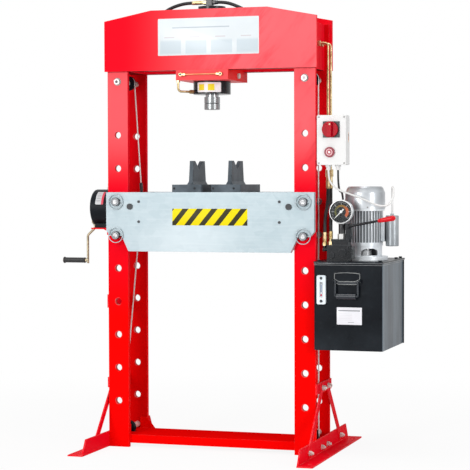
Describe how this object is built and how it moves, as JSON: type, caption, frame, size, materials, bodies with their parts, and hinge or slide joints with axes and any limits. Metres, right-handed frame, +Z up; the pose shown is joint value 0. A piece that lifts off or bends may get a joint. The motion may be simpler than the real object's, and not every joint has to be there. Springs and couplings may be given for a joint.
{
  "type": "hydraulic workshop press",
  "caption": "Floor-standing two-post frame press with a sliding ram head, a bed held by lock pins and lifted by a rope winch, vee blocks and a side power unit.",
  "frame": {"origin": "on the floor, midway between the uprights and midway in their depth", "axes": "+X to the power unit, -Y towards the operator, +Z up"},
  "size_m": [1.5989, 0.89, 2.019],
  "materials": {
    "red_paint": "semi-gloss",
    "zinc_plate": "satin",
    "zinc_bright": "satin",
    "cast_iron": "rough cast",
    "black_steel": "semi-gloss",
    "chrome": "polished",
    "ground_steel": "turned",
    "brass": "plated",
    "hose_rubber": "matt",
    "black_plastic": "matt",
    "white_plastic": "satin",
    "red_plastic": "gloss",
    "cast_aluminium": "satin",
    "gauge_case": "satin",
    "sight_plastic": "satin",
    "rope_wire": "stranded"
  },
  "bodies": {
    "frame": {"control_cable": "white_plastic", "crown_inner": "red_paint", "crown_plate_front": "red_paint", "crown_plate_rear": "red_paint", "floor_beam": "red_paint", "foot_braces": "red_paint", "foot_left": "red_paint", "foot_right": "red_paint", "frame_bolts": "zinc_bright", "head_hose_right": "hose_rubber", "hose_back": "hose_rubber", "hose_feed": "hose_rubber", "motor_bell": "cast_aluminium", "motor_body": "cast_aluminium", "motor_boxes": "cast_aluminium", "motor_cable": "black_plastic", "motor_cowl": "cast_aluminium", "pressure_gauge": "gauge_case", "pressure_pipes": "brass", "rope_drops": "rope_wire", "rope_runs": "rope_wire", "sight_gauge": "sight_plastic", "switch_box": "white_plastic", "switch_bracket": "red_paint", "tank": "black_steel", "tank_lid": "black_steel", "upright_front_left": "red_paint", "upright_front_right": "red_paint", "upright_rear_left": "red_paint", "upright_rear_right": "red_paint", "valve_block": "black_steel", "winch_case": "black_steel", "winch_shelf": "red_paint"},
    "bed": {"bed_plate_front": "zinc_plate", "bed_plate_rear": "zinc_plate", "bed_ties": "zinc_plate", "vee_block_left": "cast_iron", "vee_block_right": "cast_iron"},
    "head": {"head_carriage": "red_paint", "cylinder": "black_steel", "head_lines": "brass", "head_hose_left": "hose_rubber"},
    "ram": {"ram_rod": "chrome", "ram_nose": "ground_steel"},
    "pin_upper_left": {"pin_upper_left": "zinc_bright"},
    "pin_upper_right": {"pin_upper_right": "zinc_bright"},
    "pin_lower_left": {"pin_lower_left": "zinc_bright"},
    "pin_lower_right": {"pin_lower_right": "zinc_bright"},
    "pulley_upper_left": {"pulley_upper_left": "black_steel"},
    "pulley_upper_right": {"pulley_upper_right": "black_steel"},
    "pulley_lower_left": {"pulley_lower_left": "black_steel"},
    "pulley_lower_right": {"pulley_lower_right": "black_steel"},
    "crank": {"winch_crank": "zinc_bright"},
    "crank_grip": {"winch_grip": "black_plastic"},
    "tank_bail": {"tank_handle": "black_steel"},
    "lever": {"valve_lever": "red_plastic"},
    "needle": {"gauge_pointer": "white_plastic"},
    "knob": {"switch_knob": "red_plastic"},
    "button": {"stop_button": "red_plastic"},
    "rotor": {"motor_shaft": "zinc_bright"}
  },
  "joints": [
    {"name": "bed_lift", "type": "slide", "parent": "frame", "child": "bed", "axis": [0, 0, 1], "range_m": [-0.75, 0.15], "deforming": ["rope_drops"]},
    {"name": "head_shift", "type": "slide", "parent": "frame", "child": "head", "axis": [1, 0, 0], "range_m": [-0.12, 0.18], "deforming": ["head_hose_right"]},
    {"name": "ram_stroke", "type": "slide", "parent": "head", "child": "ram", "axis": [0, 0, 1], "range_m": [-0.25, 0]},
    {"name": "pin_upper_left_pull", "type": "slide", "parent": "bed", "child": "pin_upper_left", "axis": [0, -1, 0], "range_m": [0, 0.3]},
    {"name": "pin_upper_right_pull", "type": "slide", "parent": "bed", "child": "pin_upper_right", "axis": [0, -1, 0], "range_m": [0, 0.3]},
    {"name": "pin_lower_left_pull", "type": "slide", "parent": "bed", "child": "pin_lower_left", "axis": [0, -1, 0], "range_m": [0, 0.3]},
    {"name": "pin_lower_right_pull", "type": "slide", "parent": "bed", "child": "pin_lower_right", "axis": [0, -1, 0], "range_m": [0, 0.3]},
    {"name": "pulley_upper_left_spin", "type": "hinge", "parent": "frame", "child": "pulley_upper_left", "pos_m": [-0.4365, 0.008, 1.65], "axis": [0, 1, 0], "continuous": true},
    {"name": "pulley_upper_right_spin", "type": "hinge", "parent": "frame", "child": "pulley_upper_right", "pos_m": [0.4365, -0.008, 1.65], "axis": [0, 1, 0], "continuous": true},
    {"name": "pulley_lower_left_spin", "type": "hinge", "parent": "frame", "child": "pulley_lower_left", "pos_m": [-0.4365, -0.008, 0.071], "axis": [0, 1, 0], "continuous": true},
    {"name": "pulley_lower_right_spin", "type": "hinge", "parent": "frame", "child": "pulley_lower_right", "pos_m": [0.4365, -0.008, 0.071], "axis": [0, 1, 0], "continuous": true},
    {"name": "crank_turn", "type": "hinge", "parent": "frame", "child": "crank", "pos_m": [-0.61, 0, 1.018], "axis": [1, 0, 0], "continuous": true},
    {"name": "grip_spin", "type": "hinge", "parent": "crank", "child": "crank_grip", "pos_m": [-0.7, 0, 0.838], "axis": [1, 0, 0], "continuous": true},
    {"name": "bail_swing", "type": "hinge", "parent": "frame", "child": "tank_bail", "pos_m": [0.633, -0.171, 0.77], "axis": [1, 0, 0], "range_deg": [-95, 0]},
    {"name": "lever_tilt", "type": "hinge", "parent": "frame", "child": "lever", "pos_m": [0.627, -0.1263, 1.004], "axis": [0, 1, 0], "range_deg": [-25, 15]},
    {"name": "needle_sweep", "type": "hinge", "parent": "frame", "child": "needle", "pos_m": [0.597, -0.1215, 1.068], "axis": [0, 1, 0], "range_deg": [0, 270], "stiffness_Nm_per_rad": 0.01},
    {"name": "knob_turn", "type": "hinge", "parent": "frame", "child": "knob", "pos_m": [0.5575, -0.16, 1.424], "axis": [0, 1, 0], "range_deg": [0, 90]},
    {"name": "button_press", "type": "slide", "parent": "frame", "child": "button", "axis": [0, 1, 0], "range_m": [0, 0.004], "stiffness_N_per_m": 600},
    {"name": "rotor_spin", "type": "hinge", "parent": "frame", "child": "rotor", "pos_m": [0.664, 0.05, 1], "axis": [0, 0, 1], "continuous": true}
  ]
}
